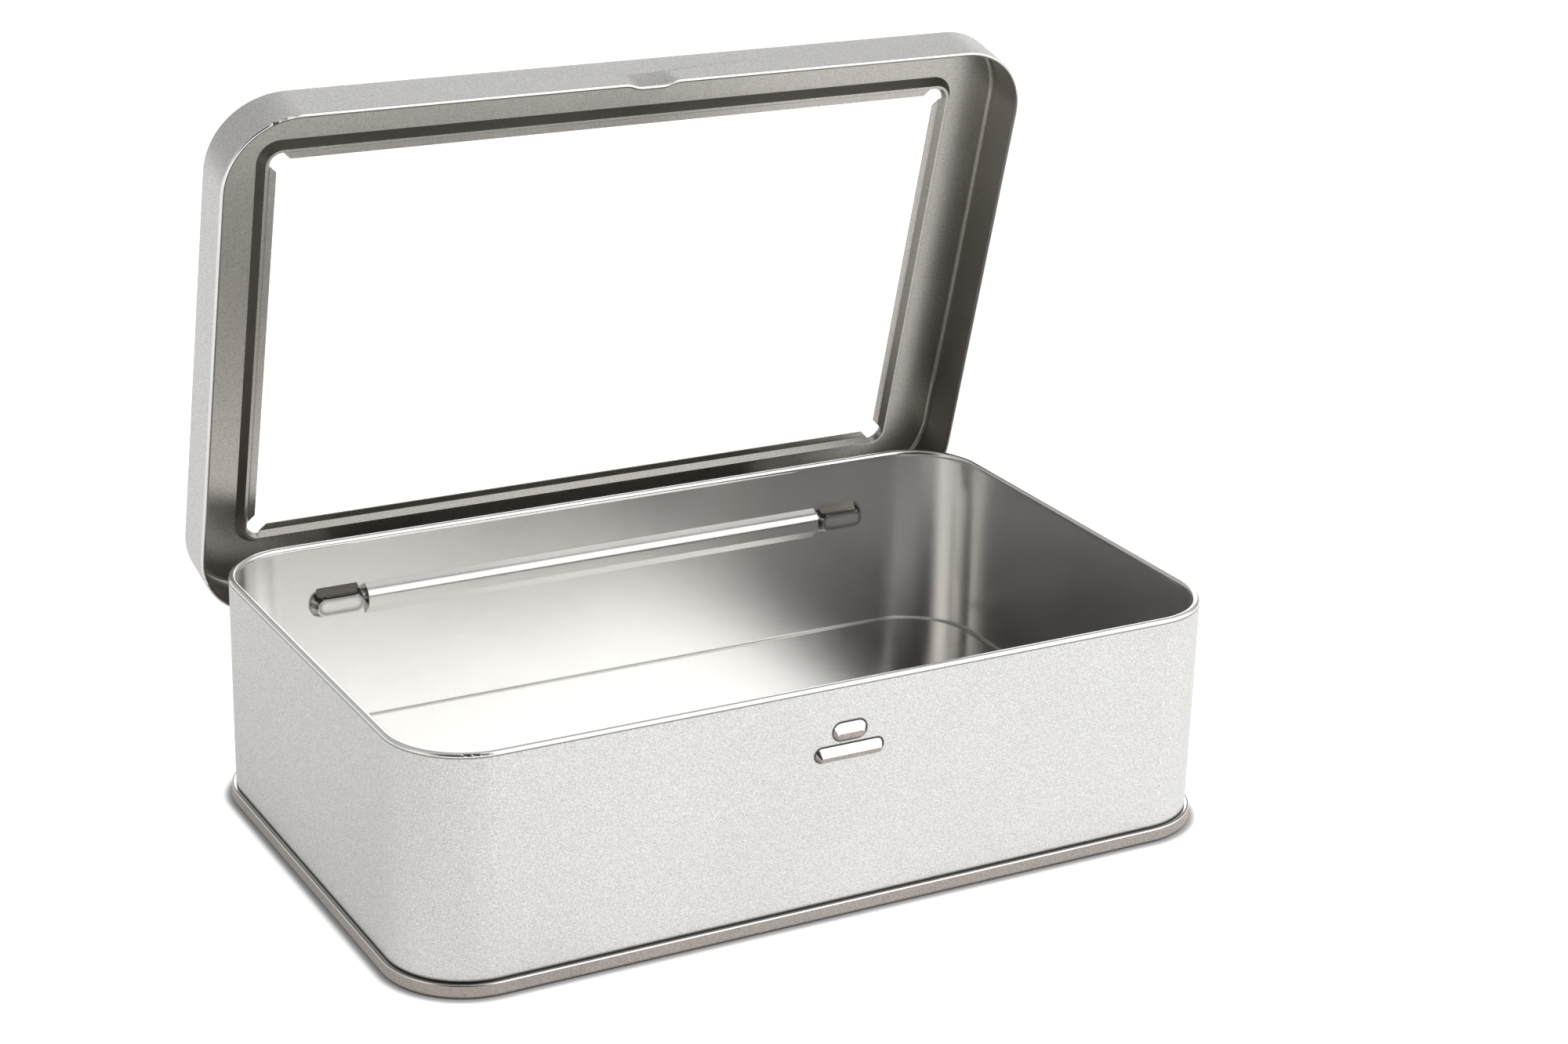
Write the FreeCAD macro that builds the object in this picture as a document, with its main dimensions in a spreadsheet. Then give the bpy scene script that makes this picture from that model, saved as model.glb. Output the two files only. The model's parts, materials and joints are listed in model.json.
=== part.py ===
import FreeCAD, Part
import math
import os
import re

import Sketcher
from FreeCAD import Placement, Rotation, Vector

# Tinplate box with a hinged lid that frames a clear window.
# Frame: origin at the middle of the base, +X along the long side, +Y to the hinge, +Z up.

doc = FreeCAD.newDocument("window_tin_box")

SIZES = [
    # box
    ("box_width", 190.0),
    ("box_depth", 120.0),
    ("box_height", 52.6),
    ("box_corner", 17.2),
    ("sheet", 0.3),
    ("rim_roll", 0.8),
    # base seam and bottom
    ("seam_ledge", 1.0),
    ("seam_height", 3.2),
    ("seam_edge", 0.45),
    ("hem_foot", 0.6),
    ("floor_level", 8.0),
    ("floor_bend", 1.2),
    # latch
    ("catch_width", 8.0),
    ("catch_height", 4.4),
    ("catch_drop", 10.7),
    ("catch_stand", 0.7),
    ("catch_crest", 1.2),
    ("rest_width", 16.0),
    ("rest_height", 3.2),
    ("rest_drop", 15.3),
    ("rest_stand", 1.2),
    ("rest_crest", 0.9),
    ("foot_slope", 0.9),
    # hinge
    ("hinge_inset", 0.8),
    ("hinge_drop", 14.6),
    ("wire_radius", 1.1),
    ("wire_play", 0.07),
    ("wire_seat", 0.04),
    ("swing_gap", 0.45),
    ("channel_half", 58.0),
    ("channel_under", 4.5),
    ("channel_lean", 26.0),
    ("channel_crease", 2.0),
    ("pocket_gap", 1.5),
    ("pocket_length", 11.0),
    ("pocket_height", 6.4),
    ("pocket_face", 4.2),
    ("pocket_sag", 0.8),
    ("pocket_slope", 1.1),
    ("wire_short", 2.5),
    ("slot_over", 1.3),
    ("slot_height", 1.9),
    ("slot_inset", 0.5),
    ("barrel_end_gap", 1.0),
    ("barrel_open", 100.0),
    ("neck_lean", 19.5),
    # lid
    ("side_gap", 1.45),
    ("front_gap", 2.7),
    ("rear_gap", 2.0),
    ("lid_corner", 17.0),
    ("skirt_depth", 12.1),
    ("shoulder", 1.2),
    ("edge_roll", 0.475),
    ("lid_seat", 0.2),
    ("lid_offset", -0.2),
    ("lid_angle", 75.7),
    # window frame, measured inwards from the skirt
    ("groove_start", 11.9),
    ("groove_slope", 1.4),
    ("groove_floor", 0.3),
    ("groove_return", 0.95),
    ("groove_depth", 1.9),
    ("ledge_width", 1.65),
    ("ledge_drop", 0.4),
    ("notch_edge", 14.3),
    ("notch_round", 2.9),
    ("notch_flare", 0.5),
    ("pane_sheet", 0.3),
    ("pane_lap", 1.3),
    # dent in the front edge of the lid
    ("dent_depth", 0.95),
    ("dent_half", 2.6),
    ("dent_run", 3.8),
    ("dent_rise", 4.5),
]

sheet = doc.addObject("Spreadsheet::Sheet", "Sizes")
for row, (name, size) in enumerate(SIZES, start=1):
    sheet.set(f"A{row}", name)
    sheet.set(f"B{row}", str(size))
    sheet.setAlias(f"B{row}", name)
doc.recompute()


def tied(text):
    """Expression text in which every size name points at the sheet."""
    return re.sub(r"\b([a-z_]+)\b(?!\()", r"Sizes.\1", text)


def value(text):
    return float(sheet.evalExpression(tied(text)))


# Sizes that several pieces share, written from the sheet's names.
HALF_WIDTH = "box_width / 2"
HALF_DEPTH = "box_depth / 2"
LID_HALF_WIDTH = "(box_width / 2 + side_gap)"
LID_DEPTH = "(box_depth + front_gap + rear_gap)"
LID_HALF_DEPTH = "((box_depth + front_gap + rear_gap) / 2)"
LID_SHIFT = "((rear_gap - front_gap) / 2)"
LID_TOP = "(box_height + lid_seat + sheet)"
HINGE_Y = "(box_depth / 2 - hinge_inset)"
HINGE_Z = "(box_height - hinge_drop)"
BARREL_OUT = "(wire_radius + wire_play + sheet)"
LEDGE_START = "(groove_start + groove_slope + groove_floor + groove_return)"
WINDOW_EDGE = "(groove_start + groove_slope + groove_floor + groove_return + ledge_width)"


def new_body(name):
    body = doc.addObject("PartDesign::Body", name)
    body.Label = name
    return body


def new_sketch(body, name, plane, shift="0"):
    """Empty sketch on one of the body's own planes, moved along the plane's normal."""
    sketch = body.newObject("Sketcher::SketchObject", name)
    face = [item for item in body.Origin.OriginFeatures if item.Role == plane][0]
    sketch.AttachmentSupport = [(face, "")]
    sketch.MapMode = "FlatFace"
    sketch.setExpression("AttachmentOffset.Base.z", tied(shift))
    return sketch


def pin(sketch, kind, piece, end, text):
    index = sketch.addConstraint(Sketcher.Constraint(kind, -1, 1, piece, end, value(text)))
    sketch.setExpression(f"Constraints[{index}]", tied(text))


def pin_corner(sketch, piece, end, place, only=""):
    if only != "y":
        pin(sketch, "DistanceX", piece, end, place[0])
    if only != "x":
        pin(sketch, "DistanceY", piece, end, place[1])


def spot(place):
    return Vector(value(place[0]), value(place[1]), 0)


def outline(sketch, start, steps):
    """Closed outline of lines and arcs, its corners tied to the sheet.

    A step is ("line", to), or ("left" or "right", centre, to) for an arc that turns that way.
    The last step is a line back to the start."""
    here = start
    first = sketch.GeometryCount
    joints = []
    for step in steps:
        begin, end = spot(here), spot(step[-1])
        if step[0] == "line":
            sketch.addGeometry(Part.LineSegment(begin, end), False)
            joints.append((1, 2, None))
        else:
            centre = spot(step[1])
            one, two = begin - centre, end - centre
            if step[0] == "right":
                one, two = two, one
            low, high = math.atan2(one.y, one.x), math.atan2(two.y, two.x)
            if high <= low:
                high += 2 * math.pi
            ring = Part.Circle(centre, Vector(0, 0, 1), (begin - centre).Length)
            sketch.addGeometry(Part.ArcOfCircle(ring, low, high), False)
            joints.append((1, 2, step[1]) if step[0] == "left" else (2, 1, step[1]))
        here = step[-1]
    count = len(steps)
    for index in range(count):
        after = (index + 1) % count
        sketch.addConstraint(Sketcher.Constraint(
            "Coincident", first + index, joints[index][1], first + after, joints[after][0]))
    pin_corner(sketch, first, joints[0][0], start)
    for index in range(count):
        centre = joints[index][2]
        only = ""
        if centre:
            pin_corner(sketch, first + index, 3, centre)
            arm = spot(steps[index][-1]) - spot(centre)
            only = "x" if abs(arm.y) > abs(arm.x) else "y"
        if index < count - 1:
            pin_corner(sketch, first + index, joints[index][1], steps[index][-1], only)


def circle(sketch, centre, radius):
    index = sketch.addGeometry(Part.Circle(spot(centre), Vector(0, 0, 1), value(radius)), False)
    pin_corner(sketch, index, 3, centre)
    size = sketch.addConstraint(Sketcher.Constraint("Radius", index, value(radius)))
    sketch.setExpression(f"Constraints[{size}]", tied(radius))


def round_box(sketch, half_x, half_y, corner, mid_x="0", mid_y="0"):
    """Rounded rectangle that starts at the middle of its lower side."""
    def place(side_x, cut_x, side_y, cut_y):
        across = f"{mid_x} {side_x} ({half_x})" + (f" {cut_x} ({corner})" if cut_x else "")
        along = f"{mid_y} {side_y} ({half_y})" + (f" {cut_y} ({corner})" if cut_y else "")
        return across, along

    start = (mid_x, f"{mid_y} - ({half_y})")
    outline(sketch, start, [
        ("line", place("+", "-", "-", "")),
        ("left", place("+", "-", "-", "+"), place("+", "", "-", "+")),
        ("line", place("+", "", "+", "-")),
        ("left", place("+", "-", "+", "-"), place("+", "-", "+", "")),
        ("line", place("-", "+", "+", "")),
        ("left", place("-", "+", "+", "-"), place("-", "", "+", "-")),
        ("line", place("-", "", "-", "+")),
        ("left", place("-", "+", "-", "+"), place("-", "+", "-", "")),
        ("line", start),
    ])


def pipe(body, name, profile, spine):
    """Profile swept round a flat closed spine."""
    doc.recompute()
    feature = body.newObject("PartDesign::AdditivePipe", name)
    feature.Profile = profile
    feature.Spine = (spine, [f"Edge{n + 1}" for n in range(len(spine.Shape.Edges))])
    body.Tip = feature
    return feature


def pad(body, name, sketch, length, both=False, draft=""):
    feature = body.newObject("PartDesign::Pad", name)
    feature.Profile = sketch
    feature.setExpression("Length", tied(length))
    if both:
        feature.SideType = "Symmetric"
    if draft:
        feature.setExpression("TaperAngle", tied("0 - " + draft))
    body.Tip = feature
    return feature


def pocket(body, name, sketch, length, both=False, back=False, draft=""):
    """Cut against the sketch's normal, or along it when back is set; it has to cut."""
    doc.recompute()
    before = body.Shape.Volume
    feature = body.newObject("PartDesign::Pocket", name)
    feature.Profile = sketch
    feature.setExpression("Length", tied(length))
    feature.Reversed = back
    if both:
        feature.SideType = "Symmetric"
    if draft:
        feature.setExpression("TaperAngle", tied("0 - " + draft))
    body.Tip = feature
    doc.recompute()
    if body.Shape.Volume > before - 0.01:
        raise ValueError(name + " cuts nothing")
    return feature


# ---------------------------------------------------------------- box wall

wall = new_body("body_wall")
wall_path = new_sketch(wall, "wall_path", "XY_Plane")
round_box(wall_path, HALF_WIDTH, HALF_DEPTH, "box_corner")

# Upright sheet whose top edge is rolled inwards, cut across the front wall.
OUT = "0 - box_depth / 2"
wall_section = new_sketch(wall, "wall_section", "YZ_Plane")
outline(wall_section, (OUT, "hem_foot"), [
    ("line", (f"{OUT} + sheet", "hem_foot")),
    ("line", (f"{OUT} + sheet", "box_height - rim_roll")),
    ("right", (f"{OUT} + rim_roll", "box_height - rim_roll"),
     (f"{OUT} + rim_roll", "box_height - 2 * rim_roll + sheet")),
    ("line", (f"{OUT} + rim_roll", "box_height - 2 * rim_roll")),
    ("left", (f"{OUT} + rim_roll", "box_height - rim_roll"),
     (OUT, "box_height - rim_roll")),
    ("line", (OUT, "hem_foot")),
])
pipe(wall, "wall_sweep", wall_section, wall_path)


def channel_section(sketch, skin, outer):
    """Section of the hinge channel in the back wall: round over the barrel, creased below it.

    skin is the thickness that the section adds around the hollow, outer the side it ends at."""
    reach = f"({BARREL_OUT} + swing_gap + {skin})"
    inner = f"{HINGE_Y} - {reach}"
    lip = f"{HINGE_Z} + {reach} / cos(channel_lean) + ({outer} - {HINGE_Y}) * tan(channel_lean)"
    bend = (f"{HINGE_Y} - {reach} * sin(channel_lean)",
            f"{HINGE_Z} + {reach} * cos(channel_lean)")
    foot = (outer, f"{HINGE_Z} - channel_under - {skin} * 4 / 3")
    outline(sketch, foot, [
        ("line", (outer, lip)),
        ("line", bend),
        ("left", (HINGE_Y, HINGE_Z), (inner, HINGE_Z)),
        ("line", (inner, f"{HINGE_Z} - channel_crease - {skin} / 2")),
        ("line", foot),
    ])


def pressed(body, name, near, far, wide, narrow):
    """Hollow boss pressed out of the sheet, from a wide outline to a narrower crest.

    near and far are the planes of the boss's foot and crest; those of its hollow lie one sheet
    nearer to the open side. Each outline is its middle x, its middle z, its half width and its
    half height, and both have round ends."""
    for layer, inset, feature in (("skin", "0", "AdditiveLoft"),
                                  ("hollow", "sheet", "SubtractiveLoft")):
        sections = []
        for level, plane, form in (("foot", near, wide), ("crest", far, narrow)):
            mid_x, mid_z, half_x, half_z = form
            at = plane if layer == "skin" else f"{plane} - sheet"
            section = new_sketch(body, f"{name}_{layer}_{level}", "XZ_Plane", at)
            round_box(section, f"{half_x} - {inset}", f"{half_z} - {inset}",
                      f"({half_z} - {inset}) * 0.96", mid_x, mid_z)
            sections.append(section)
        doc.recompute()
        before = body.Shape.Volume
        loft = body.newObject(f"PartDesign::{feature}", f"{name}_{layer}")
        loft.Profile = sections[0]
        loft.Sections = sections[1:]
        loft.Ruled = True
        body.Tip = loft
        doc.recompute()
        if abs(body.Shape.Volume - before) < 0.01:
            raise ValueError(f"{name} {layer} changes nothing")


# The channel, between two lanced loops that take the ends of the hinge wire.
channel_form = new_sketch(wall, "channel_form", "YZ_Plane")
channel_section(channel_form, "sheet", "(box_depth / 2 - sheet / 2)")
pad(wall, "channel_skin", channel_form, "2 * (channel_half + sheet)", both=True)
channel_hollow = new_sketch(wall, "channel_hollow", "YZ_Plane")
channel_section(channel_hollow, "0", "(box_depth / 2 + sheet)")
pocket(wall, "channel_cut", channel_hollow, "2 * channel_half", both=True)

BACK_FOOT = "sheet / 2 - box_depth / 2"
FRONT_FOOT = "box_depth / 2 - sheet / 2"
LOOP_MID = "(channel_half + pocket_gap + pocket_length / 2)"
LOOP_Z = f"({HINGE_Z} - pocket_sag)"
for side, sign in (("right", ""), ("left", "0 - ")):
    pressed(wall, f"loop_{side}", BACK_FOOT, f"{BARREL_OUT} + swing_gap + sheet - {HINGE_Y}",
            (f"{sign}{LOOP_MID}", LOOP_Z, "(pocket_length / 2 + pocket_slope)",
             "(pocket_height / 2)"),
            (f"{sign}{LOOP_MID}", LOOP_Z, "(pocket_length / 2)", "(pocket_face / 2)"))

# Slot lanced over each loop, and the holes that the wire passes through.
slots = new_sketch(wall, "lance_slots", "XZ_Plane", f"0 - {HINGE_Y}")
for sign in ("0 +", "0 -"):
    round_box(slots, "pocket_length / 2 - slot_inset", "slot_height / 2", "slot_inset",
              f"{sign} {LOOP_MID}", f"{HINGE_Z} + slot_over + slot_height / 2")
pocket(wall, "lance_cut", slots, f"4 * ({BARREL_OUT} + swing_gap)", both=True)

hole = new_sketch(wall, "wire_hole", "YZ_Plane")
circle(hole, (HINGE_Y, HINGE_Z), "wire_radius + wire_seat")
pocket(wall, "wire_cut", hole, f"2 * {LOOP_MID}", both=True)

# Latch on the front wall: a catch over a longer finger rest, each with a long upper slope.
for name in ("catch", "rest"):
    middle = f"(box_height - {name}_drop)"
    low = f"({middle} - {name}_height / 2 + {name}_crest)"
    pressed(wall, name, FRONT_FOOT, f"box_depth / 2 + {name}_stand",
            ("0", middle, f"({name}_width / 2)", f"({name}_height / 2)"),
            ("0", low, f"({name}_width / 2 - foot_slope)", f"({name}_crest / 2)"))

# ---------------------------------------------------------------- bottom

bottom = new_body("bottom_panel")
bottom_path = new_sketch(bottom, "bottom_path", "XY_Plane")
round_box(bottom_path, HALF_WIDTH, HALF_DEPTH, "box_corner")

# Seam hooked round the foot of the wall, and the plug that carries the floor.
bottom_section = new_sketch(bottom, "bottom_section", "YZ_Plane")
outline(bottom_section, (f"{OUT} + 2 * sheet", "0"), [
    ("line", (f"{OUT} + 2 * sheet", "floor_level - floor_bend")),
    ("right", (f"{OUT} + sheet + floor_bend", "floor_level - floor_bend"),
     (f"{OUT} + sheet + floor_bend", "floor_level - sheet")),
    ("line", (f"{OUT} + 3 * floor_bend", "floor_level - sheet")),
    ("line", (f"{OUT} + 3 * floor_bend", "floor_level")),
    ("line", (f"{OUT} + sheet + floor_bend", "floor_level")),
    ("left", (f"{OUT} + sheet + floor_bend", "floor_level - floor_bend"),
     (f"{OUT} + sheet", "floor_level - floor_bend")),
    ("line", (f"{OUT} + sheet", "hem_foot")),
    ("line", (OUT, "hem_foot")),
    ("line", (OUT, "seam_height")),
    ("line", (f"{OUT} - seam_ledge + seam_edge", "seam_height")),
    ("left", (f"{OUT} - seam_ledge + seam_edge", "seam_height - seam_edge"),
     (f"{OUT} - seam_ledge", "seam_height - seam_edge")),
    ("line", (f"{OUT} - seam_ledge", "seam_edge")),
    ("left", (f"{OUT} - seam_ledge + seam_edge", "seam_edge"),
     (f"{OUT} - seam_ledge + seam_edge", "0")),
    ("line", (f"{OUT} + 2 * sheet", "0")),
])
pipe(bottom, "seam_sweep", bottom_section, bottom_path)

floor_plate = new_sketch(bottom, "floor_plate", "XY_Plane", "floor_level - sheet")
round_box(floor_plate, "box_width / 2 - 2 * floor_bend", "box_depth / 2 - 2 * floor_bend",
          "box_corner - 2 * floor_bend")
pad(bottom, "floor_sheet", floor_plate, "sheet")

# ---------------------------------------------------------------- hinge wire

wire = doc.addObject("Part::Cylinder", "hinge_wire")
wire.Label = "hinge_wire"
wire.setExpression("Radius", tied("wire_radius"))
WIRE_HALF = "(channel_half + pocket_gap + pocket_length - wire_short)"
wire.setExpression("Height", tied(f"2 * {WIRE_HALF}"))
wire.Placement = Placement(Vector(0, 0, 0), Rotation(Vector(0, 1, 0), 90))
wire.setExpression("Placement.Base.x", tied(f"0 - {WIRE_HALF}"))
wire.setExpression("Placement.Base.y", tied(HINGE_Y))
wire.setExpression("Placement.Base.z", tied(HINGE_Z))

# ---------------------------------------------------------------- lid

# Drawn with the outside of its panel at z = 0 and swung open about the hinge wire afterwards.
lid = new_body("lid")
lid_path = new_sketch(lid, "lid_path", "XY_Plane")
round_box(lid_path, LID_HALF_WIDTH, LID_HALF_DEPTH, "lid_corner")

FACE = f"0 - {LID_HALF_DEPTH}"
EDGE_TURN = "edge_roll + sqrt(edge_roll * edge_roll - (edge_roll - sheet) * (edge_roll - sheet))"
lid_section = new_sketch(lid, "lid_section", "YZ_Plane")
outline(lid_section, (FACE, "edge_roll - skirt_depth"), [
    ("left", (f"{FACE} + edge_roll", "edge_roll - skirt_depth"),
     (f"{FACE} + sheet", f"{EDGE_TURN} - skirt_depth")),
    ("line", (f"{FACE} + sheet", "0 - shoulder")),
    ("right", (f"{FACE} + shoulder", "0 - shoulder"), (f"{FACE} + shoulder", "0 - sheet")),
    ("line", (f"{FACE} + groove_start - sheet / 2", "0 - sheet")),
    ("line", (f"{FACE} + groove_start + groove_slope - sheet / 2", "0 - groove_depth - sheet")),
    ("line", (f"{FACE} + groove_start + groove_slope + groove_floor + sheet / 2",
              "0 - groove_depth - sheet")),
    ("line", (f"{FACE} + {LEDGE_START} + sheet / 2", "0 - ledge_drop - sheet")),
    ("line", (f"{FACE} + {WINDOW_EDGE}", "0 - ledge_drop - sheet")),
    ("line", (f"{FACE} + {WINDOW_EDGE}", "0 - ledge_drop")),
    ("line", (f"{FACE} + {LEDGE_START}", "0 - ledge_drop")),
    ("line", (f"{FACE} + groove_start + groove_slope + groove_floor", "0 - groove_depth")),
    ("line", (f"{FACE} + groove_start + groove_slope", "0 - groove_depth")),
    ("line", (f"{FACE} + groove_start", "0")),
    ("line", (f"{FACE} + shoulder", "0")),
    ("left", (f"{FACE} + shoulder", "0 - shoulder"), (FACE, "0 - shoulder")),
    ("line", (FACE, "edge_roll - skirt_depth")),
])
pipe(lid, "lid_sweep", lid_section, lid_path)

# Rounded notch at each corner of the window ledge.
NOTCH_MID = "(notch_edge + notch_round)"
NOTCH_NEAR = f"({NOTCH_MID} + notch_flare)"
NOTCH_FAR = f"({NOTCH_NEAR} + notch_round)"
notches = new_sketch(lid, "corner_notches", "XY_Plane")
for side_x in (1, -1):
    for side_y in (1, -1):
        def inset(across, along, side_x=side_x, side_y=side_y):
            return (f"{side_x} * ({LID_HALF_WIDTH} - {across})",
                    f"{side_y} * ({LID_HALF_DEPTH} - {along})")

        turn = "left" if side_x == side_y else "right"
        outline(notches, inset("notch_edge", NOTCH_MID), [
            (turn, inset(NOTCH_MID, NOTCH_MID), inset(NOTCH_MID, "notch_edge")),
            ("line", inset(NOTCH_FAR, NOTCH_NEAR)),
            ("line", inset(NOTCH_FAR, NOTCH_FAR)),
            ("line", inset(NOTCH_NEAR, NOTCH_FAR)),
            ("line", inset("notch_edge", NOTCH_MID)),
        ])
pocket(lid, "notch_cut", notches, "4 * groove_depth", both=True)

# Dent in the front skirt: the skirt is cut out there and lofted back in through its sections.
dent_gap = new_sketch(lid, "dent_gap", "XZ_Plane", LID_HALF_DEPTH)
outline(dent_gap, ("dent_half + dent_run", "0 - skirt_depth - sheet"), [
    ("line", ("dent_half + dent_run", "dent_rise - skirt_depth")),
    ("line", ("0 - dent_half - dent_run", "dent_rise - skirt_depth")),
    ("line", ("0 - dent_half - dent_run", "0 - skirt_depth - sheet")),
    ("line", ("dent_half + dent_run", "0 - skirt_depth - sheet")),
])
pocket(lid, "dent_cut", dent_gap, "8 * edge_roll", both=True)

DENT_STEPS = [(0.0, 0.0), (0.25, 0.16), (0.5, 0.5), (0.75, 0.84), (1.0, 1.0)]
dent_stations = [(f"0 - dent_half - {1 - run} * dent_run", dip) for run, dip in DENT_STEPS]
dent_stations += [(f"dent_half + {1 - run} * dent_run", dip) for run, dip in reversed(DENT_STEPS)]
dent_sections = []
for number, (station, dip) in enumerate(dent_stations, start=1):
    section = new_sketch(lid, f"dent_section_{number}", "YZ_Plane", station)
    face = f"{FACE} + {dip} * dent_depth"
    outline(section, (face, "edge_roll - skirt_depth"), [
        ("left", (f"{face} + edge_roll", "edge_roll - skirt_depth"),
         (f"{face} + sheet", f"{EDGE_TURN} - skirt_depth")),
        ("line", (f"{FACE} + sheet", "dent_rise - skirt_depth")),
        ("line", (FACE, "dent_rise - skirt_depth")),
        ("line", (face, "edge_roll - skirt_depth")),
    ])
    dent_sections.append(section)
doc.recompute()
dent = lid.newObject("PartDesign::AdditiveLoft", "dent_loft")
dent.Profile = dent_sections[0]
dent.Sections = dent_sections[1:]
dent.Ruled = True
lid.Tip = dent

# Hinge barrel: the back skirt carries on as a leaning neck and is rolled round the wire.
AXIS = (f"({HINGE_Y} - {LID_SHIFT})", f"({HINGE_Z} - {LID_TOP})")
BARREL_IN = "(wire_radius + wire_play)"


def on_barrel(radius, angle):
    return (f"{AXIS[0]} + {radius} * cos({angle})", f"{AXIS[1]} + {radius} * sin({angle})")


leave_out = on_barrel(BARREL_OUT, "0 - neck_lean")
leave_in = on_barrel(BARREL_IN, "0 - neck_lean")
BACK = LID_HALF_DEPTH
join_out = f"{leave_out[1]} + ({BACK} - ({leave_out[0]})) / tan(neck_lean)"
join_in = f"{leave_in[1]} + ({BACK} - sheet - ({leave_in[0]})) / tan(neck_lean)"

back_gap = new_sketch(lid, "back_gap", "XZ_Plane", f"0 - {BACK}")
outline(back_gap, ("channel_half - barrel_end_gap", "0 - skirt_depth - sheet"), [
    ("line", ("channel_half - barrel_end_gap", f"{join_out} + sheet")),
    ("line", ("0 - channel_half + barrel_end_gap", f"{join_out} + sheet")),
    ("line", ("0 - channel_half + barrel_end_gap", "0 - skirt_depth - sheet")),
    ("line", ("channel_half - barrel_end_gap", "0 - skirt_depth - sheet")),
])
pocket(lid, "back_cut", back_gap, "4 * edge_roll", both=True)

barrel = new_sketch(lid, "barrel_section", "YZ_Plane")
outline(barrel, (BACK, f"{join_out} + 2 * sheet"), [
    ("line", (BACK, join_out)),
    ("line", leave_out),
    ("right", AXIS, on_barrel(BARREL_OUT, "barrel_open")),
    ("line", on_barrel(BARREL_IN, "barrel_open")),
    ("left", AXIS, leave_in),
    ("line", (f"{BACK} - sheet", join_in)),
    ("line", (f"{BACK} - sheet", f"{join_out} + 2 * sheet")),
    ("line", (BACK, f"{join_out} + 2 * sheet")),
])
pad(lid, "barrel_roll", barrel, "2 * (channel_half - barrel_end_gap)", both=True)

# ---------------------------------------------------------------- window pane

pane = new_body("window_pane")
pane_outline = new_sketch(pane, "pane_outline", "XY_Plane", "0 - ledge_drop")
PANE_IN = f"({WINDOW_EDGE} - pane_lap)"
round_box(pane_outline, f"{LID_HALF_WIDTH} - {PANE_IN}", f"{LID_HALF_DEPTH} - {PANE_IN}",
          f"lid_corner - {PANE_IN}")
pad(pane, "pane_sheet_pad", pane_outline, "pane_sheet")

# The lid and its pane, swung open about the wire.
ARM_Y = f"({LID_SHIFT} - {HINGE_Y})"
ARM_Z = f"({LID_TOP} - {HINGE_Z})"
for part in (lid, pane):
    part.Placement = Placement(Vector(0, 0, 0), Rotation(Vector(1, 0, 0), -value("lid_angle")))
    part.setExpression("Placement.Base.x", tied("lid_offset"))
    part.setExpression("Placement.Base.y", tied(
        f"{HINGE_Y} + {ARM_Y} * cos(lid_angle) + {ARM_Z} * sin(lid_angle)"))
    part.setExpression("Placement.Base.z", tied(
        f"{HINGE_Z} - {ARM_Y} * sin(lid_angle) + {ARM_Z} * cos(lid_angle)"))

# ---------------------------------------------------------------- check and write

doc.recompute()
for item in doc.Objects:
    if "Invalid" in item.State or "Error" in item.State:
        raise ValueError(item.Label + " did not build")
os.makedirs("parts", exist_ok=True)
for node in (wall, bottom, wire, lid, pane):
    shape = node.Shape
    if shape.isNull() or not shape.isValid() or len(shape.Solids) != 1:
        raise ValueError(node.Label + " is not one sound solid")
    shape.exportStep(f"parts/{node.Label}.step")
    print(node.Label, round(shape.Volume, 1), shape.BoundBox)
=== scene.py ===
import json
import math

import bpy
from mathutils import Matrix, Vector

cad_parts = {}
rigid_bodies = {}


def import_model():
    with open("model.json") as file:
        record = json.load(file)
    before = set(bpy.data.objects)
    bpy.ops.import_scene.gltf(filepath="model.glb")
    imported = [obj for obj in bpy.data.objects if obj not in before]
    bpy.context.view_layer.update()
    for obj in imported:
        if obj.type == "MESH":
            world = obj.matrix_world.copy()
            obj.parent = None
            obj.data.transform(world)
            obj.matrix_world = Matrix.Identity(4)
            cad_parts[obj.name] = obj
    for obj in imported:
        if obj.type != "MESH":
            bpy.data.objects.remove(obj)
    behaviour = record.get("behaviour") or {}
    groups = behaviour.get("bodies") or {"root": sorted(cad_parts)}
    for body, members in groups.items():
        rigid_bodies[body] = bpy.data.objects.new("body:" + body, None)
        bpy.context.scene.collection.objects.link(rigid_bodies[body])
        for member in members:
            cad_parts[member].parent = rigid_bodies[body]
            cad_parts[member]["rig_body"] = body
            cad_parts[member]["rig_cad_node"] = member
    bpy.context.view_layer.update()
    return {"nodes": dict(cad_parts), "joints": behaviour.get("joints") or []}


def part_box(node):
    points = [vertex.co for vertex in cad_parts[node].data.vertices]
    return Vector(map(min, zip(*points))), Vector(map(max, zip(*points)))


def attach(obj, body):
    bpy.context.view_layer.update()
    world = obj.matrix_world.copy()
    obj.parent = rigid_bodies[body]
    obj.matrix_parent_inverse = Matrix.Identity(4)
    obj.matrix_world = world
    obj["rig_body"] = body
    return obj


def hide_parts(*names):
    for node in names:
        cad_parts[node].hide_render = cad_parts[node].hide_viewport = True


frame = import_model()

bl_info = {
    "name": "Window tin box",
    "version": (1, 0, 0),
    "blender": (4, 5, 0),
    "location": "3D View > Sidebar > Window tin box",
    "description": "Dresses a hinged tinplate box with a window lid",
    "category": "Object",
}

MM = 0.001

# The hinge line, and the turn that closes the lid, are read from the record's joint.
HINGE = Vector(frame["joints"][0]["pos_m"])
LID_TURN = math.radians(frame["joints"][0]["range_deg"][1])
WALL_LOW, WALL_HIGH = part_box("body_wall")
SHEET = 0.3 * MM
CORNER = 17 * MM
RIM_ROLL = 1.65 * MM
SEAM_TOP = 3.3 * MM
BOSS_DEPTH = 1.15 * MM

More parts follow.
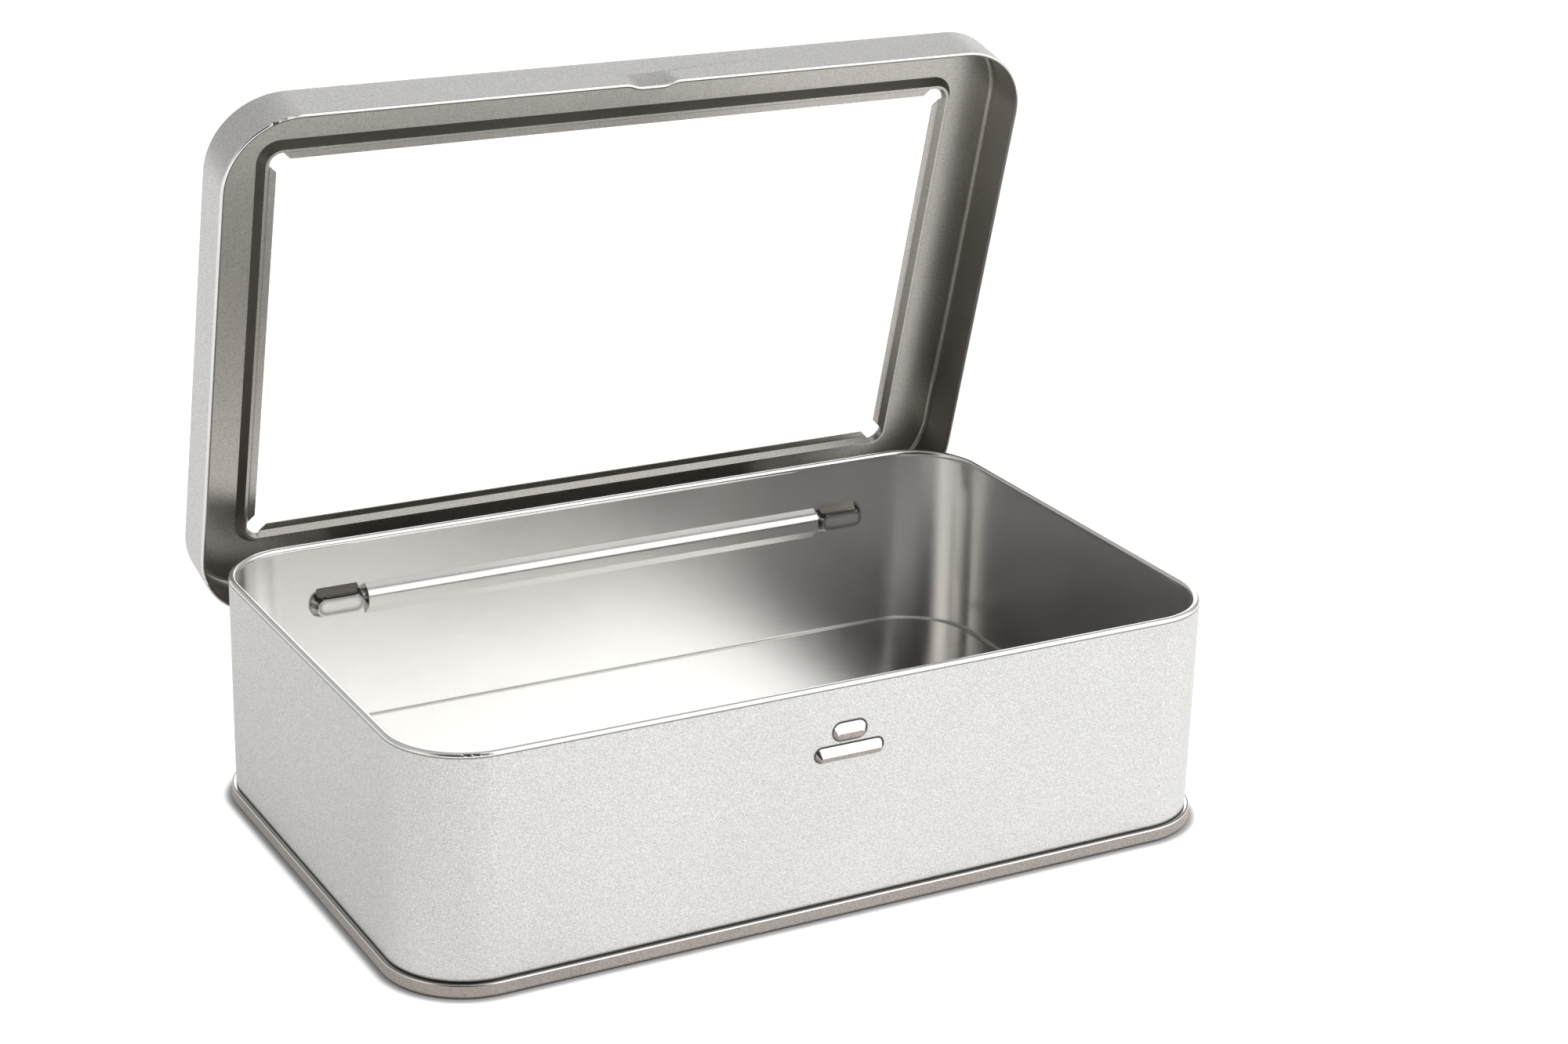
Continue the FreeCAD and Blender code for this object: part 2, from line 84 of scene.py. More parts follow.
# How far the catch and the rest lie below the rim and the loops below the hinge line, and
# the half length and radius of their round-ended feet.
CATCH_DROP, CATCH_HALF, CATCH_RADIUS = 10.76 * MM, 1.92 * MM, 2.02 * MM
REST_DROP, REST_HALF, REST_RADIUS = 15.26 * MM, 6.43 * MM, 1.58 * MM
LOOP_DROP, LOOP_HALF, LOOP_RADIUS = 0.50 * MM, 3.4 * MM, 3.2 * MM
LOOP_CENTRE = 65 * MM

# Points of the mesh nearer than this are one point.
WELD = 0.004 * MM


# ---------------------------------------------------------------- settings

class TinFinish(bpy.types.PropertyGroup):
    plate: bpy.props.FloatVectorProperty(
        name="Outside", description="Colour of the matte tinplate outside",
        subtype="COLOR", size=3, min=0, max=1, default=(0.76, 0.753, 0.735))
    bright: bpy.props.FloatVectorProperty(
        name="Inside", description="Colour of the bright tinplate inside",
        subtype="COLOR", size=3, min=0, max=1, default=(0.83, 0.824, 0.808))
    # Darker than the inside tinplate of the box, as painted shade.
    frame: bpy.props.FloatVectorProperty(
        name="Lid inside", description="Colour of the tinplate inside the lid, darkened as painted shade",
        subtype="COLOR", size=3, min=0, max=1, default=(0.50, 0.478, 0.445))
    # Dark painted shade for the groove round the window and the inside of the lid's rolled edge.
    fold_shade: bpy.props.FloatVectorProperty(
        name="Painted fold shade", description="Colour of the dark painted shade in the lid's folds",
        subtype="COLOR", size=3, min=0, max=1, default=(0.28, 0.265, 0.25))
    # Near-black painted shade for the slots' cut edges and the hollows behind them.
    slot: bpy.props.FloatVectorProperty(
        name="Slots", description="Colour of the near-black painted shade in the slots",
        subtype="COLOR", size=3, min=0, max=1, default=(0.09, 0.085, 0.08))
    # Lighter than the plate as a painted highlight on rolled edges and upper slopes.
    rim: bpy.props.FloatVectorProperty(
        name="Rolled edges", description="Colour of the burnished rolled edges, lighter as a painted highlight",
        subtype="COLOR", size=3, min=0, max=1, default=(0.88, 0.87, 0.85))
    # Darker tinplate of the base seam, also used as painted shade on the lower faces of the catch
    # and the rest.
    seam: bpy.props.FloatVectorProperty(
        name="Base seam", description="Colour of the darker tinplate of the base seam, and of the painted shade on the lower faces of the catch and rest",
        subtype="COLOR", size=3, min=0, max=1, default=(0.41, 0.37, 0.34))
    steel: bpy.props.FloatVectorProperty(
        name="Hinge wire", description="Colour of the drawn steel hinge wire",
        subtype="COLOR", size=3, min=0, max=1, default=(0.32, 0.31, 0.30))
    grain: bpy.props.FloatProperty(
        name="Grain size", description="Size of the specks in the matte tinplate",
        unit="LENGTH", min=0.0001, max=0.005, default=0.00026)
    plate_gloss: bpy.props.FloatProperty(
        name="Outside roughness", description="How matte the tinplate is outside",
        min=0, max=1, default=0.46)
    bright_gloss: bpy.props.FloatProperty(
        name="Inside roughness", description="How matte the tinplate is inside",
        min=0, max=1, default=0.23)
    fold_angle: bpy.props.FloatProperty(
        name="Fold angle", description="Folds sharper than this stay crisp",
        unit="ROTATION", min=0, max=math.pi, default=math.radians(28))


class TinStudio(bpy.types.PropertyGroup):
    sky: bpy.props.FloatProperty(
        name="Tent light", description="Strength of the white tent round the box",
        min=0, max=5, default=0.50)
    dark_side: bpy.props.FloatVectorProperty(
        name="Dark side", description="Where the tent is open and dark",
        subtype="DIRECTION", size=3, default=(-0.43, -0.85, 0.30))
    dim_top: bpy.props.FloatVectorProperty(
        name="Dim top", description="Where the tent's roof is dimmer",
        subtype="DIRECTION", size=3, default=(0.42, 0.45, 0.79))
    floor: bpy.props.FloatVectorProperty(
        name="Table", description="Colour of the white table",
        subtype="COLOR", size=3, min=0, max=1, default=(0.80, 0.80, 0.80))


# ---------------------------------------------------------------- tools

def choose(thing):
    """Only this object is selected, and it is active."""
    bpy.ops.object.select_all(action="DESELECT")
    thing.select_set(True)
    bpy.context.view_layer.objects.active = thing


def smooth_copy(node, name, fold_angle):
    """A welded copy of a node, with soft shading across its curves and crisp folds."""
    choose(frame["nodes"][node])
    bpy.ops.object.duplicate()
    piece = bpy.context.object
    piece.name = name
    piece.data.name = name
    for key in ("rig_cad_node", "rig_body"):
        if key in piece:
            del piece[key]
    piece.parent = None
    choose(piece)
    if piece.data.has_custom_normals:
        bpy.ops.mesh.customdata_custom_splitnormals_clear()
    bpy.ops.object.mode_set(mode="EDIT")
    bpy.ops.mesh.select_all(action="SELECT")
    bpy.ops.mesh.remove_doubles(threshold=WELD)
    bpy.ops.mesh.select_all(action="DESELECT")
    bpy.ops.object.mode_set(mode="OBJECT")
    bpy.ops.object.shade_smooth_by_angle(angle=fold_angle)
    weight = piece.modifiers.new("Even shading", "WEIGHTED_NORMAL")
    weight.mode = "FACE_AREA"
    weight.weight = 50
    weight.keep_sharp = True
    bpy.ops.object.modifier_apply(modifier=weight.name)
    return piece


def finish(piece, rules):
    """Gives each face the material of the last rule whose test its middle and normal pass."""
    piece.data.materials.clear()
    for material, _ in rules:
        piece.data.materials.append(material)
    for face in piece.data.polygons:
        for index, (_, test) in enumerate(rules):
            if test(face.center, face.normal):
                face.material_index = index


# ---------------------------------------------------------------- finishes

def new_material(name):
    """The material and its empty tree, or the material and None if it is made already."""
    material = bpy.data.materials.get(name)
    if material:
        return material, None
    material = bpy.data.materials.new(name)
    material.use_nodes = True
    material.node_tree.nodes.clear()
    return material, material.node_tree


def add(tree, kind, place, **values):
    """A new node; each value goes to the input of that name, or else to the node itself."""
    node = tree.nodes.new(kind)
    node.location = place
    for key, value in values.items():
        if key in node.inputs:
            node.inputs[key].default_value = value
        else:
            setattr(node, key, value)
    return node


def ramp(tree, place, source, given, wanted, smooth=True):
    """Turns the range given into the range wanted, and holds its ends."""
    node = add(tree, "ShaderNodeMapRange", place)
    if smooth:
        node.interpolation_type = "SMOOTHSTEP"
    for name, value in zip(("From Min", "From Max", "To Min", "To Max"), (*given, *wanted)):
        node.inputs[name].default_value = value
    tree.links.new(source, node.inputs["Value"])
    return node.outputs["Result"]


def times(tree, place, first, second):
    """The product of two values."""
    node = add(tree, "ShaderNodeMath", place, operation="MULTIPLY")
    tree.links.new(first, node.inputs[0])
    tree.links.new(second, node.inputs[1])
    return node.outputs["Value"]


def painted_crease_shade(tree, place, side, wall, middle, centre, half, radius, width, depth):
    """Painted shade: a brightness dip along a round-ended outline on a wall, as where a boss
    meets it.

    side is -1 for the front wall, 1 for the back and 0 for a level line all round."""
    link = tree.links.new

    def step(operation, value, column, source):
        node = add(tree, "ShaderNodeMath", (150 * column - 1600, -600), operation=operation)
        node.inputs[1].default_value = value
        link(source, node.inputs[0])
        return node.outputs["Value"]

    parts = add(tree, "ShaderNodeSeparateXYZ", (-1750, -600))
    link(place, parts.inputs["Vector"])
    across = step("SUBTRACT", centre, 1, step("ABSOLUTE", 0, 0, parts.outputs["X"]))
    past = step("MAXIMUM", 0, 4, step("SUBTRACT", half, 3, step("ABSOLUTE", 0, 2, across)))
    inward = step("ADD", wall, 1, step("MULTIPLY", -side, 0, parts.outputs["Y"]))
    around = add(tree, "ShaderNodeCombineXYZ", (-850, -600))
    link(past, around.inputs["X"])
    link(step("SUBTRACT", middle, 4, parts.outputs["Z"]), around.inputs["Y"])
    link(step("MAXIMUM", 0, 2, inward), around.inputs["Z"])
    far = add(tree, "ShaderNodeVectorMath", (-700, -600), operation="LENGTH")
    link(around.outputs["Vector"], far.inputs[0])
    gap = step("ABSOLUTE", 0, 8, step("SUBTRACT", radius, 7, far.outputs["Value"]))
    return ramp(tree, (-250, -600), gap, (0, width), (1 - depth, 1))


# The middle part of a noise texture's values, where most of them lie.
NOISE = (0.3, 0.7)


def tinplate(name, colour, roughness, grain, speck, relief, cloud, painted_creases=()):
    """Tinplate: fine specks and slow clouds in its colour and roughness, over a fine relief, with
    painted shade along any creases given.
    """
    material, tree = new_material(name)
    if tree is None:
        return material
    link = tree.links.new
    place = add(tree, "ShaderNodeTexCoord", (-1200, 0))
    specks = add(tree, "ShaderNodeTexNoise", (-900, 200),
                 Scale=1 / grain, Detail=3.0, Roughness=0.6)
    clouds = add(tree, "ShaderNodeTexNoise", (-900, -100),
                 Scale=28.0, Detail=4.0, Roughness=0.55)
    for texture in (specks, clouds):
        link(place.outputs["Object"], texture.inputs["Vector"])
    shade = times(
        tree, (-450, 100),
        ramp(tree, (-650, 200), specks.outputs["Fac"], NOISE, (1 - speck, 1 + speck * 0.6),
             smooth=False),
        ramp(tree, (-650, -100), clouds.outputs["Fac"], NOISE, (1 - cloud, 1 + cloud),
             smooth=False))
    # Painted shade along each crease darkens the colour.
    for line in painted_creases:
        shade = times(tree, (-350, 100), shade,
                      painted_crease_shade(tree, place.outputs["Object"], *line))
    tint = add(tree, "ShaderNodeVectorMath", (-250, 200), operation="SCALE")
    tint.inputs[0].default_value = colour
    link(shade, tint.inputs["Scale"])
    matte = ramp(tree, (-450, -150), clouds.outputs["Fac"], NOISE,
                 (roughness * (1 - 2 * cloud), roughness * (1 + 2 * cloud)), smooth=False)
    bump = add(tree, "ShaderNodeBump", (-250, -350), Strength=relief, Distance=0.02 * MM)
    link(specks.outputs["Fac"], bump.inputs["Height"])
    metal = add(tree, "ShaderNodeBsdfPrincipled", (0, 0), Metallic=1.0)
    link(tint.outputs["Vector"], metal.inputs["Base Color"])
    link(matte, metal.inputs["Roughness"])
    link(bump.outputs["Normal"], metal.inputs["Normal"])
    out = add(tree, "ShaderNodeOutputMaterial", (300, 0))
    link(metal.outputs["BSDF"], out.inputs["Surface"])
    return material


def level_painted_shade(height, width, depth):
    """A level line of painted shade round the box, longer than any of its walls."""
    return (0, 0, height, 0, 1, 0, width, depth)


# Painted shade along creases round the feet and along level lines: side and place of the wall,
# then middle height, centre from the box's middle, half length, radius, width and depth of the
# dip.
FRONT = (-1, WALL_HIGH.y)
INSIDE_BACK = (1, WALL_HIGH.y - SHEET)
OUTER_PAINTED_CREASES = [
    # Painted shade in the gap between the wall and the base seam.
    level_painted_shade(SEAM_TOP, 0.75 * MM, 0.97),
    # Painted shade line under the rolled rim.
    level_painted_shade(WALL_HIGH.z - 0.98 * MM, 0.28 * MM, 0.65),
    # Painted shade round the outlines of the catch and the rest.
    (*FRONT, WALL_HIGH.z - CATCH_DROP, 0, CATCH_HALF, CATCH_RADIUS, 0.48 * MM, 0.98),
    (*FRONT, WALL_HIGH.z - REST_DROP, 0, REST_HALF, REST_RADIUS, 0.48 * MM, 0.98),
]
INNER_PAINTED_CREASES = [
    # Painted shade round the loops on the inside of the back wall.
    (*INSIDE_BACK, HINGE.z - LOOP_DROP, LOOP_CENTRE, LOOP_HALF, LOOP_RADIUS, 0.45 * MM, 0.50),
]
SEAM_PAINTED_CREASES = [
    # Painted contact shadow along the foot of the base seam.
    level_painted_shade(0.10 * MM, 0.75 * MM, 0.99),
]


def matte_tin(settings):
    return tinplate("Matte tinplate", settings.plate, settings.plate_gloss, settings.grain,
                    speck=0.36, relief=0.70, cloud=0.03)


# Matte tinplate with the painted shade lines of the outside creases.
def wall_tin(settings):
    return tinplate("Wall tinplate", settings.plate, settings.plate_gloss, settings.grain,
                    speck=0.36, relief=0.70, cloud=0.03, painted_creases=OUTER_PAINTED_CREASES)


# Darker tinplate of the base seam, also painted shade on the lower faces of the catch and the
# rest.
def seam_and_shade_tin(settings):
    return tinplate("Seam tinplate and painted shade", settings.seam, 0.42, settings.grain,
                    speck=0.34, relief=0.50, cloud=0.05, painted_creases=SEAM_PAINTED_CREASES)


def bright_tin(settings):
    return tinplate("Bright tinplate", settings.bright, settings.bright_gloss,
                    settings.grain, speck=0.05, relief=0.08, cloud=0.04)


# Bright tinplate with painted shade round the loops.
def inner_tin(settings):
    return tinplate("Inner tinplate", settings.bright, settings.bright_gloss,
                    settings.grain, speck=0.05, relief=0.08, cloud=0.04,
                    painted_creases=INNER_PAINTED_CREASES)


# Near-black painted shade for the slots and their hollows.
def painted_slot_shade(settings):
    return tinplate("Painted slot shade", settings.slot, 0.50, settings.grain,
                    speck=0.20, relief=0.30, cloud=0.05)


# Dark painted shade in the lid's folds.
def painted_fold_shade(settings):
    return tinplate("Painted fold shade", settings.fold_shade, 0.40, settings.grain,
                    speck=0.20, relief=0.30, cloud=0.05)


def shaded_lid_tin(settings):
    return tinplate("Lid tinplate darkened as painted shade", settings.frame, 0.33, settings.grain,
                    speck=0.34, relief=0.40, cloud=0.05)


# Burnished edge, its lighter colour a painted highlight.
def burnished_highlight_tin(settings):
    return tinplate("Burnished edge with painted highlight", settings.rim, 0.24, settings.grain,
                    speck=0.05, relief=0.06, cloud=0.03)


def drawn_steel(settings):
    return tinplate("Drawn steel", settings.steel, 0.32, settings.grain,
                    speck=0.08, relief=0.10, cloud=0.05)


def clear_sheet():
    material, tree = new_material("Clear sheet")
    if tree is None:
        return material
    link = tree.links.new
    place = add(tree, "ShaderNodeTexCoord", (-900, 0))
    waves = add(tree, "ShaderNodeTexNoise", (-650, -100), Scale=40.0, Detail=2.0)
    link(place.outputs["Object"], waves.inputs["Vector"])
    bump = add(tree, "ShaderNodeBump", (-400, -100), Strength=0.02, Distance=0.05 * MM)
    link(waves.outputs["Fac"], bump.inputs["Height"])
    film = add(tree, "ShaderNodeBsdfPrincipled", (-100, 0), Roughness=0.03, IOR=1.05,
               Alpha=0.06)
    film.inputs["Base Color"].default_value = (0.95, 0.97, 0.98, 1)
    link(bump.outputs["Normal"], film.inputs["Normal"])
    out = add(tree, "ShaderNodeOutputMaterial", (200, 0))
    link(film.outputs["BSDF"], out.inputs["Surface"])
    return material


# ---------------------------------------------------------------- where the sheet faces

def everywhere(point, normal):
    return True


def closed_normal(normal):
    """Which way a direction on the open lid points when the lid is closed."""
    c, s = math.cos(LID_TURN), math.sin(LID_TURN)
    return Vector((normal.x, normal.y * c - normal.z * s, normal.y * s + normal.z * c))


def closed_place(point):
    """Where a point of the open lid lies when the lid is closed."""
    return HINGE + closed_normal(point - HINGE)


def looks_out(point, normal):
    """True on the outer side of an upright wall round the origin."""
    half = (WALL_HIGH - WALL_LOW) / 2
    away = Vector((math.copysign(max(abs(point.x) - half.x + CORNER, 0), point.x),
                   math.copysign(max(abs(point.y) - half.y + CORNER, 0), point.y), 0))
    return normal.dot(away) > 0


# ---------------------------------------------------------------- pieces

class TIN_OT_wall(bpy.types.Operator):
    """Makes the box wall with its rolled rim, catch and hinge channel"""
    bl_idname = "tin.wall"
    bl_label = "Box wall"

    def execute(self, context):
        settings = context.scene.tin_finish
        wall = smooth_copy("body_wall", "box_wall", settings.fold_angle)
        slot_half, slot_low, slot_high, slot_depth = 5.6 * MM, 0.6 * MM, 3.3 * MM, 2.9 * MM

        def in_slot(point, normal):
            """The slots' cut edges over the lanced loops, and the hollows behind them, which get
            near-black painted shade.
            """
            across, rise = abs(point.x) - LOOP_CENTRE, point.z - HINGE.z
            return (abs(across) < slot_half and slot_low < rise < slot_high
                    and WALL_HIGH.y - slot_depth < point.y and not normal.y < -0.7)

        def on_boss(point, normal):
            """The catch and the rest, which stand out of the front."""
            return point.y < WALL_LOW.y + BOSS_DEPTH

        finish(wall, [
            (inner_tin(settings), everywhere),
            (wall_tin(settings), looks_out),
            # Near-black painted shade in the slots over the loops.
            (painted_slot_shade(settings), in_slot),
            # Painted highlight on the rolled rim.
            (burnished_highlight_tin(settings), lambda p, n: p.z > WALL_HIGH.z - RIM_ROLL),
            # Painted highlight on the upper slopes of the catch and the rest, and painted shade
            # on their lower faces.
            (burnished_highlight_tin(settings), on_boss),
            (seam_and_shade_tin(settings), lambda p, n: on_boss(p, n) and n.z < 0.2),
        ])
        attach(wall, "box")
        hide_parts("body_wall")
        return {"FINISHED"}


class TIN_OT_bottom(bpy.types.Operator):
    """Makes the bottom with its base seam and floor"""
    bl_idname = "tin.bottom"
    bl_label = "Bottom"

    def execute(self, context):
        settings = context.scene.tin_finish
        bottom = smooth_copy("bottom_panel", "box_bottom", settings.fold_angle)
        underside_from, bend_from = 1 * MM, 2.7 * MM
        finish(bottom, [
            (bright_tin(settings), everywhere),
            # The base seam's outside, darker than the wall.
            (seam_and_shade_tin(settings), lambda p, n: p.z < SEAM_TOP and looks_out(p, n)),
            (matte_tin(settings), lambda p, n: n.z < -0.2 and p.z > underside_from),
            # Painted highlight along the top edge of the base seam.
            (burnished_highlight_tin(settings), lambda p, n: p.z > bend_from and 0.25 < n.z < 0.75),
        ])
        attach(bottom, "box")
        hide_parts("bottom_panel")
        return {"FINISHED"}


class TIN_OT_wire(bpy.types.Operator):
    """Makes the wire that the lid's barrel turns on"""
    bl_idname = "tin.wire"
    bl_label = "Hinge wire"

    def execute(self, context):
        settings = context.scene.tin_finish
        wire = smooth_copy("hinge_wire", "hinge_pin", settings.fold_angle)
        finish(wire, [(drawn_steel(settings), everywhere)])
        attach(wire, "box")
        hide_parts("hinge_wire")
        return {"FINISHED"}


class TIN_OT_lid(bpy.types.Operator):
    """Makes the lid with its skirt, window frame and hinge barrel"""
    bl_idname = "tin.lid"
    bl_label = "Lid"

    def execute(self, context):
        settings = context.scene.tin_finish
        lid = smooth_copy("lid", "lid_sheet", settings.fold_angle)

        # Heights and depth of the closed lid.
        groove_from, curl_below = 48 * MM, 42.1 * MM
        edge_low, edge_high, barrel_from = 40.5 * MM, 42.0 * MM, 61.0 * MM

        def outside(point, normal):
            """The outer side of the lid's panel and skirt."""
            place, facing = closed_place(point), closed_normal(normal)
            if abs(facing.z) > 0.35:
                return facing.z > 0
            return looks_out(place, facing)

        def fold_shade(point, normal):
            """Inner slope of the groove round the window, and the inside of the rolled edge,
            which get dark painted shade.
            """
            place, facing = closed_place(point), closed_normal(normal)
            if place.z > groove_from:
                return -0.9 < facing.z < -0.35 and looks_out(place, facing)
            return place.z < curl_below and facing.z < 0.8 and not looks_out(place, facing)

        def rolled_edge(point, normal):
            """The skirt's free edge, apart from its inside and the hinge barrel."""
            place = closed_place(point)
            return (edge_low < place.z < edge_high and place.y < barrel_from
                    and not fold_shade(point, normal))

        finish(lid, [
            # Lid inside: tinplate darkened as painted shade.
            (shaded_lid_tin(settings), everywhere),
            (matte_tin(settings), outside),
            # Dark painted shade on the groove's inner slope and inside the rolled edge.
            (painted_fold_shade(settings), fold_shade),
            # Painted highlight on the lid skirt's rolled free edge.
            (burnished_highlight_tin(settings), rolled_edge),
        ])
        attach(lid, "lid")
        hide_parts("lid")
        return {"FINISHED"}


class TIN_OT_pane(bpy.types.Operator):
    """Makes the clear sheet in the lid's window"""
    bl_idname = "tin.pane"
    bl_label = "Window pane"

    def execute(self, context):
        settings = context.scene.tin_finish
        pane = smooth_copy("window_pane", "clear_window", settings.fold_angle)
        finish(pane, [(clear_sheet(), everywhere)])
        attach(pane, "lid")
        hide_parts("window_pane")
        return {"FINISHED"}


# ---------------------------------------------------------------- studio

WHITE = (1.0, 1.0, 1.0)

# Bright panels of the tent: direction, angles of core and edge in degrees, colour, strength.
PANELS = [
    ((0.40, 0.90, 0.24), 12, 28, WHITE, 1.4),
    ((0.70, -0.68, 0.24), 14, 50, WHITE, 1.1),
    ((-0.95, -0.25, 0.20), 8, 32, (1.0, 0.90, 0.80), 0.5),
    ((0.35, -0.62, 0.70), 14, 36, WHITE, 0.6),
]

# Shaded parts of the tent: angles of core and edge in degrees, and the share of light left.
DARK_SIDE = (26, 46, 0.0)
DIM_TOP = (10, 40, 0.95)

# The table's own glow: how strong it looks, how far from the foot of the corners it fades
# in, and how strong the metal mirrors it from the back left to the front right.
GLOW_SEEN = 0.75
GLOW_FADE = (18.3 * MM, 20.4 * MM)
GLOW_MIRRORED = (0.42, 0.68)
GLOW_WAY = (0.6, -0.8, 0)
GLOW_SPAN = (-90 * MM, 70 * MM)

CAMERA_PLACE = (-0.298648, -0.563378, 0.305850)
CAMERA_TURN = (69.4603, -1.4865, -28.6915)
CAMERA_LENS = 72.073
CAMERA_SENSOR = 36


def clear_of_box(tree):
    """Table glow that fades out under and close round the box, so its shadow stays."""
    link = tree.links.new
    place = add(tree, "ShaderNodeTexCoord", (-1700, -500))
    shape = add(tree, "ShaderNodeVectorMath", (-1500, -500), operation="ABSOLUTE")
    link(place.outputs["Object"], shape.inputs[0])
    past = add(tree, "ShaderNodeVectorMath", (-1300, -500), operation="SUBTRACT")
    past.inputs[1].default_value = (WALL_HIGH.x - CORNER, WALL_HIGH.y - CORNER, 0)
    link(shape.outputs["Vector"], past.inputs[0])
    out = add(tree, "ShaderNodeVectorMath", (-1100, -500), operation="MAXIMUM")
    link(past.outputs["Vector"], out.inputs[0])
    far = add(tree, "ShaderNodeVectorMath", (-900, -500), operation="LENGTH")
    link(out.outputs["Vector"], far.inputs[0])
    return ramp(tree, (-700, -500), far.outputs["Value"], GLOW_FADE, (0, GLOW_SEEN))


def across_table(tree):
    """Table glow that grows from behind the box's left to before its right."""
    link = tree.links.new
    place = add(tree, "ShaderNodeTexCoord", (-1700, -900))
    along = add(tree, "ShaderNodeVectorMath", (-1500, -900), operation="DOT_PRODUCT")
    along.inputs[1].default_value = GLOW_WAY
    link(place.outputs["Object"], along.inputs[0])
    return ramp(tree, (-1300, -900), along.outputs["Value"], GLOW_SPAN, GLOW_MIRRORED)


def white_table(settings):
    """White paint that glows for the camera clear of the box, and in mirrored views."""
    material, tree = new_material("White table")
    if tree is None:
        return material
    link = tree.links.new
    path = add(tree, "ShaderNodeLightPath", (-600, 200))
    paint = add(tree, "ShaderNodeBsdfDiffuse", (-300, 0))
    paint.inputs["Color"].default_value = (*settings.floor, 1)
    glow = add(tree, "ShaderNodeEmission", (-300, -200))
    lit = add(tree, "ShaderNodeMath", (-450, -200), operation="ADD")
    link(times(tree, (-600, -200), path.outputs["Is Camera Ray"], clear_of_box(tree)),
         lit.inputs[0])
    link(times(tree, (-600, -400), path.outputs["Is Glossy Ray"], across_table(tree)),
         lit.inputs[1])
    link(lit.outputs["Value"], glow.inputs["Strength"])
    total = add(tree, "ShaderNodeAddShader", (-50, 0))
    link(paint.outputs["BSDF"], total.inputs[0])
    link(glow.outputs["Emission"], total.inputs[1])
    out = add(tree, "ShaderNodeOutputMaterial", (200, 0))
    link(total.outputs["Shader"], out.inputs["Surface"])
    return material


def light_tent(scene, settings):
    """World of soft light: a plain tent with bright panels, a dark side and a dim top."""
    world = bpy.data.worlds.new("Light tent")
    scene.world = world
    world.use_nodes = True
    tree = world.node_tree
    tree.nodes.clear()
    link = tree.links.new
    path = add(tree, "ShaderNodeLightPath", (-600, 400))
    where = add(tree, "ShaderNodeTexCoord", (-1500, 0))

    def cap(direction, core, edge, past, full, row):
        """Mask round a direction: full inside the core angle, and another value past the edge."""
        facing = add(tree, "ShaderNodeVectorMath", (-1250, row), operation="DOT_PRODUCT")
        facing.inputs[1].default_value = Vector(direction).normalized()
        link(where.outputs["Generated"], facing.inputs[0])
        angles = (math.cos(math.radians(edge)), math.cos(math.radians(core)))
        return ramp(tree, (-1050, row), facing.outputs["Value"], angles, (past, full))

    light = None
    for index, (direction, core, edge, colour, strength) in enumerate(PANELS):
        row = -200 * index - 200
        panel = add(tree, "ShaderNodeVectorMath", (-850, row), operation="SCALE")
        panel.inputs[0].default_value = colour
        link(cap(direction, core, edge, 0, strength, row), panel.inputs["Scale"])
        both = add(tree, "ShaderNodeVectorMath", (-650, row), operation="ADD")
        both.inputs[0].default_value = (settings.sky,) * 3
        if light:
            link(light, both.inputs[0])
        link(panel.outputs["Vector"], both.inputs[1])
        light = both.outputs["Vector"]
    shaded = [(settings.dark_side, *DARK_SIDE), (settings.dim_top, *DIM_TOP)]
    for index, (direction, core, edge, left) in enumerate(shaded):
        dimmed = add(tree, "ShaderNodeVectorMath", (200 * index - 450, 0), operation="SCALE")
        link(light, dimmed.inputs[0])
        link(cap(direction, core, edge, 1, left, 200 * index + 200), dimmed.inputs["Scale"])
        light = dimmed.outputs["Vector"]
    tent = add(tree, "ShaderNodeBackground", (-50, 0), Strength=1.0)
    link(light, tent.inputs["Color"])
    white = add(tree, "ShaderNodeBackground", (-50, -200), Strength=1.0)
    white.inputs["Color"].default_value = (*WHITE, 1)
    swap = add(tree, "ShaderNodeMixShader", (150, 100))
    link(path.outputs["Is Camera Ray"], swap.inputs["Fac"])
    link(tent.outputs["Background"], swap.inputs[1])
    link(white.outputs["Background"], swap.inputs[2])
    out = add(tree, "ShaderNodeOutputWorld", (350, 100))
    link(swap.outputs["Shader"], out.inputs["Surface"])


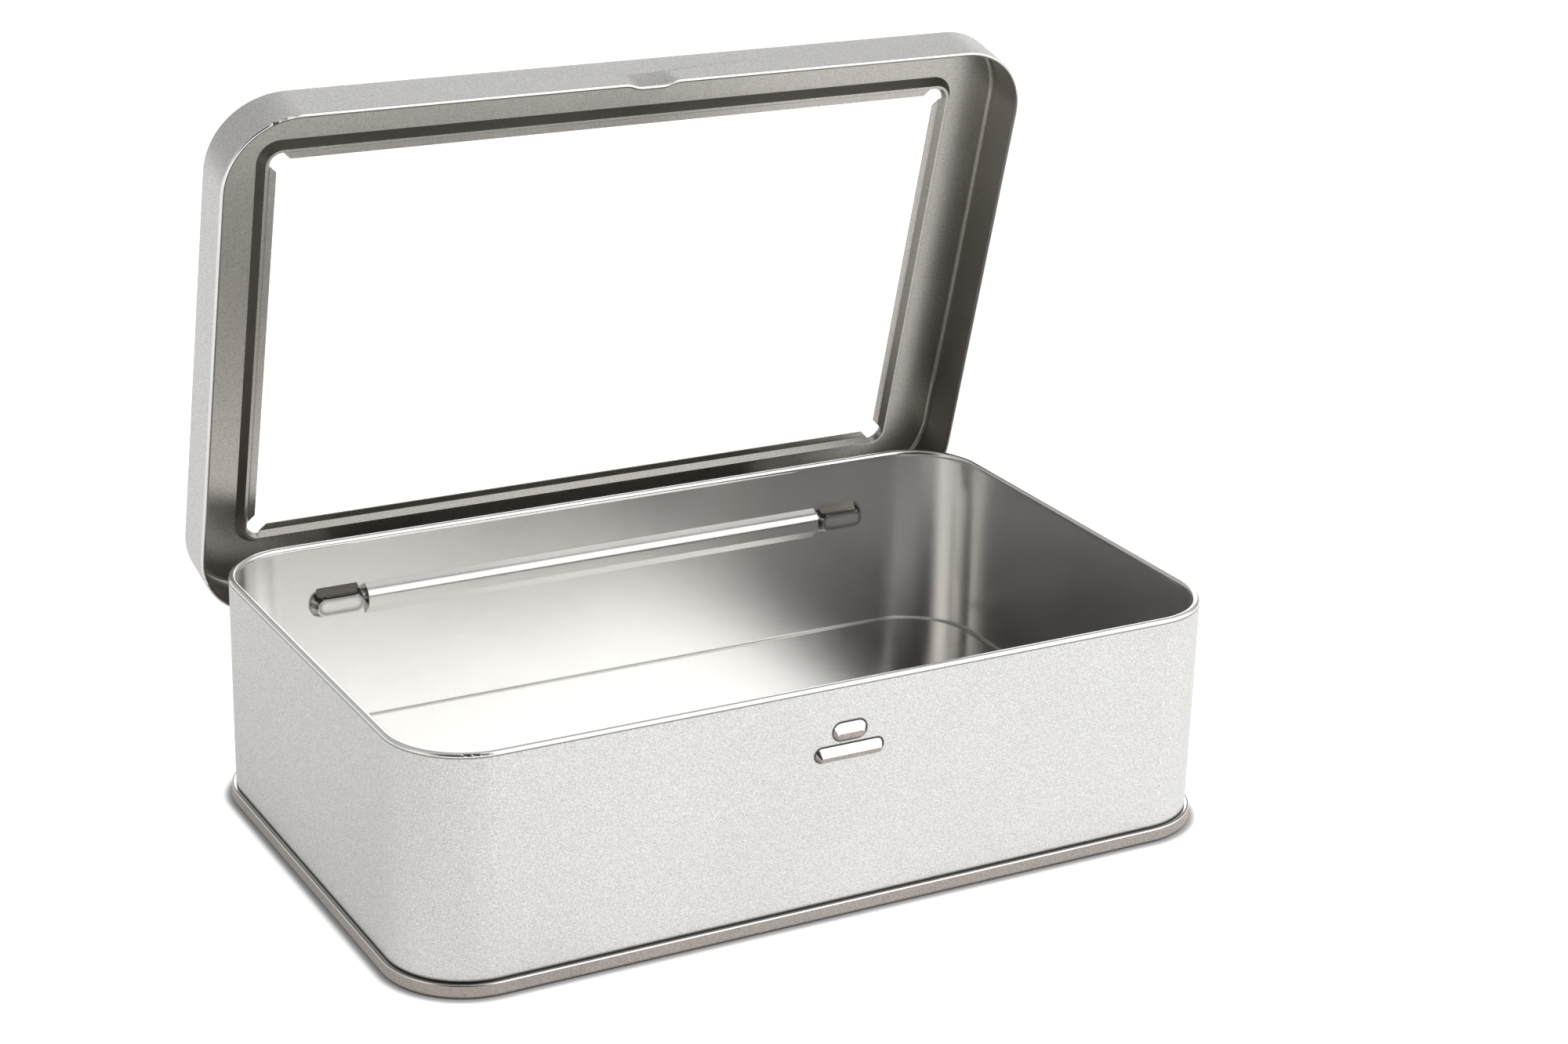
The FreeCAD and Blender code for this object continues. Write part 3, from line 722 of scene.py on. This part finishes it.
def camera_view(scene):
    """The camera, and the plain view of its picture."""
    bpy.ops.object.camera_add(
        location=CAMERA_PLACE,
        rotation=tuple(math.radians(angle) for angle in CAMERA_TURN))
    camera = bpy.context.object
    camera.name = "studio_camera"
    camera.data.sensor_width = CAMERA_SENSOR
    camera.data.lens = CAMERA_LENS
    scene.camera = camera
    scene.view_settings.view_transform = "Standard"


class TIN_OT_studio(bpy.types.Operator):
    """Makes the white table, the tent light and the camera"""
    bl_idname = "tin.studio"
    bl_label = "Studio"

    def execute(self, context):
        settings = context.scene.tin_studio
        bpy.ops.object.select_all(action="DESELECT")
        bpy.ops.mesh.primitive_plane_add(size=8, location=(0, 0, 0))
        table = context.object
        table.name = "table"
        table.data.materials.append(white_table(settings))
        light_tent(context.scene, settings)
        camera_view(context.scene)
        return {"FINISHED"}


class TIN_PT_panel(bpy.types.Panel):
    """Finishes, light and pieces of the tin box"""
    bl_idname = "TIN_PT_panel"
    bl_label = "Window tin box"
    bl_space_type = "VIEW_3D"
    bl_region_type = "UI"
    bl_category = "Window tin box"

    def draw(self, context):
        for settings in (context.scene.tin_finish, context.scene.tin_studio):
            column = self.layout.column()
            for name in settings.__annotations__:
                column.prop(settings, name)
        for step in STEPS:
            self.layout.operator(step.bl_idname)


STEPS = [TIN_OT_wall, TIN_OT_bottom, TIN_OT_wire, TIN_OT_lid, TIN_OT_pane, TIN_OT_studio]
CLASSES = [TinFinish, TinStudio, *STEPS, TIN_PT_panel]


def register():
    for item in CLASSES:
        bpy.utils.register_class(item)
    bpy.types.Scene.tin_finish = bpy.props.PointerProperty(type=TinFinish)
    bpy.types.Scene.tin_studio = bpy.props.PointerProperty(type=TinStudio)


def unregister():
    del bpy.types.Scene.tin_finish
    del bpy.types.Scene.tin_studio
    for item in reversed(CLASSES):
        bpy.utils.unregister_class(item)


def main():
    register()
    bpy.ops.tin.wall()
    bpy.ops.tin.bottom()
    bpy.ops.tin.wire()
    bpy.ops.tin.lid()
    bpy.ops.tin.pane()
    bpy.ops.tin.studio()


if __name__ == "__main__":
    main()
